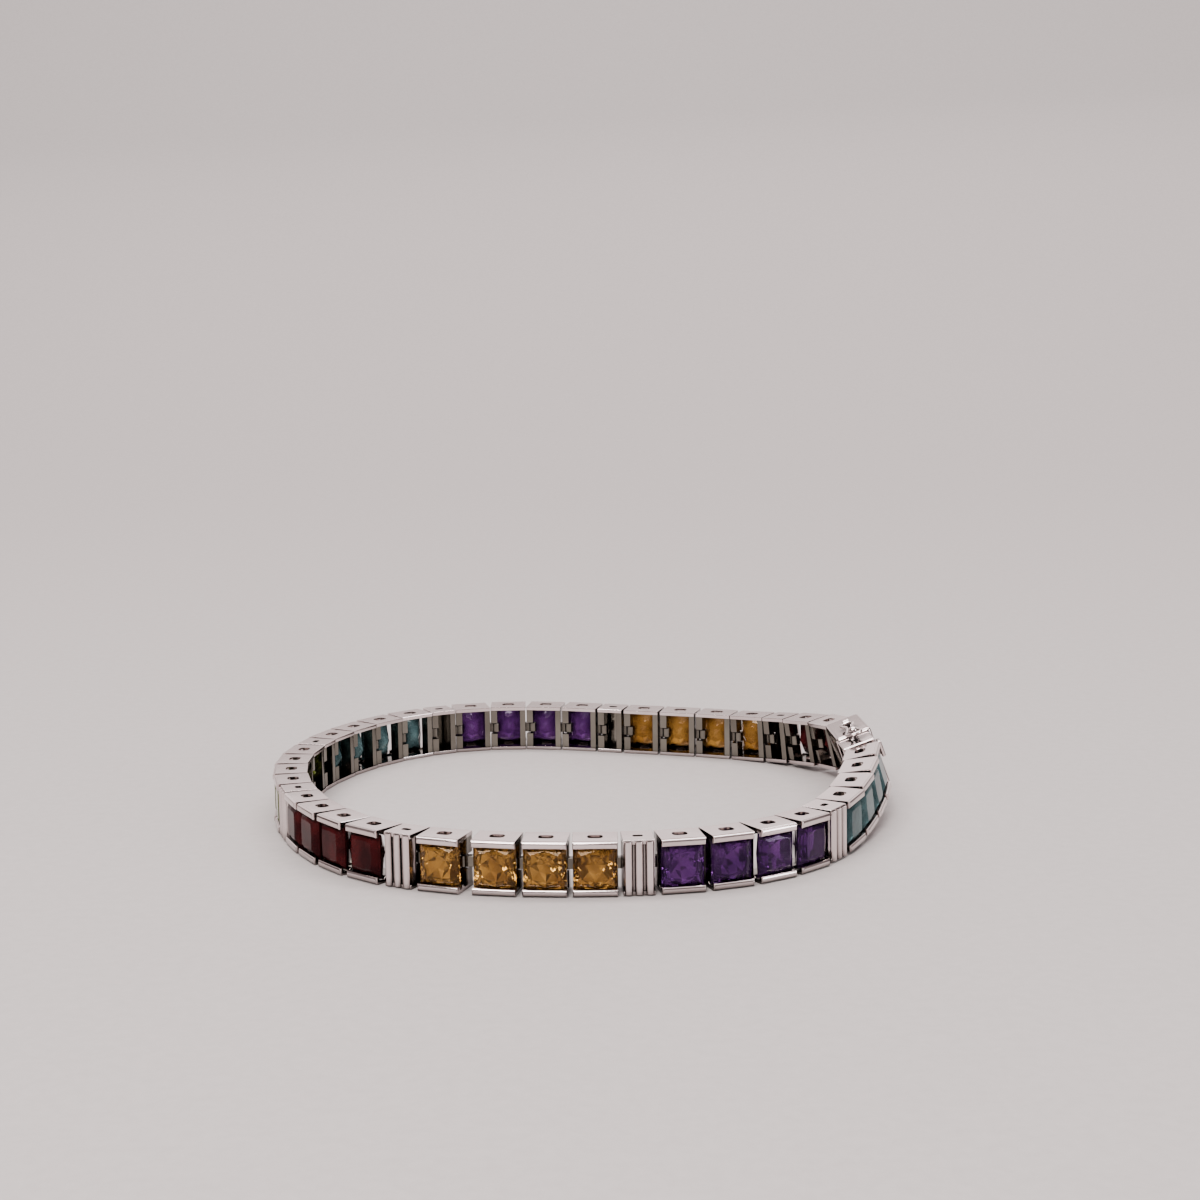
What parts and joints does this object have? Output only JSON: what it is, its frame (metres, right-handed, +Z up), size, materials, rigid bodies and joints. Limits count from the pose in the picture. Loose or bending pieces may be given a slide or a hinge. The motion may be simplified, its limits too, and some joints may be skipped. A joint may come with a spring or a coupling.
{
  "type": "tennis bracelet",
  "caption": "Closed loop of square channel-set stones in coloured runs parted by ribbed spacer links, with a box clasp and a figure-eight safety catch.",
  "frame": {"origin": "centre of the loop on the surface it stands on", "axes": "+Z up through the loop, which is the way across the band; +X towards the clasp; -Y towards the front of the picture"},
  "size_m": [0.062, 0.0606, 0.0079],
  "materials": {
    "white_metal": "polished white metal",
    "garnet": "faceted and polished",
    "citrine": "faceted and polished",
    "amethyst": "faceted and polished",
    "topaz": "faceted and polished",
    "peridot": "faceted and polished"
  },
  "bodies": {
    "bracelet": {"amethyst_01": "amethyst", "amethyst_02": "amethyst", "amethyst_03": "amethyst", "amethyst_04": "amethyst", "amethyst_05": "amethyst", "amethyst_06": "amethyst", "amethyst_07": "amethyst", "amethyst_08": "amethyst", "citrine_01": "citrine", "citrine_02": "citrine", "citrine_03": "citrine", "citrine_04": "citrine", "citrine_05": "citrine", "citrine_06": "citrine", "citrine_07": "citrine", "citrine_08": "citrine", "clasp_box": "white_metal", "clasp_tongue_end": "white_metal", "garnet_01": "garnet", "garnet_02": "garnet", "garnet_03": "garnet", "garnet_04": "garnet", "garnet_05": "garnet", "garnet_06": "garnet", "peridot_01": "peridot", "peridot_02": "peridot", "peridot_03": "peridot", "peridot_04": "peridot", "ribbed_spacer_1": "white_metal", "ribbed_spacer_2": "white_metal", "ribbed_spacer_3": "white_metal", "ribbed_spacer_4": "white_metal", "ribbed_spacer_5": "white_metal", "ribbed_spacer_6": "white_metal", "ribbed_spacer_7": "white_metal", "ribbed_spacer_8": "white_metal", "setting_run_1_topaz": "white_metal", "setting_run_2_amethyst": "white_metal", "setting_run_3_citrine": "white_metal", "setting_run_4_garnet": "white_metal", "setting_run_5_peridot": "white_metal", "setting_run_6_topaz": "white_metal", "setting_run_7_amethyst": "white_metal", "setting_run_8_citrine": "white_metal", "setting_run_9_garnet": "white_metal", "topaz_01": "topaz", "topaz_02": "topaz", "topaz_03": "topaz", "topaz_04": "topaz", "topaz_05": "topaz", "topaz_06": "topaz", "topaz_07": "topaz", "topaz_08": "topaz"},
    "safety_catch": {"safety_catch": "white_metal"}
  },
  "joints": [
    {"name": "safety_catch_hinge", "type": "hinge", "parent": "bracelet", "child": "safety_catch", "pos_m": [0.02713, 0.00543, 0.00717], "axis": [-0.9401, -0.0453, -0.3378], "range_deg": [0, 140]}
  ]
}
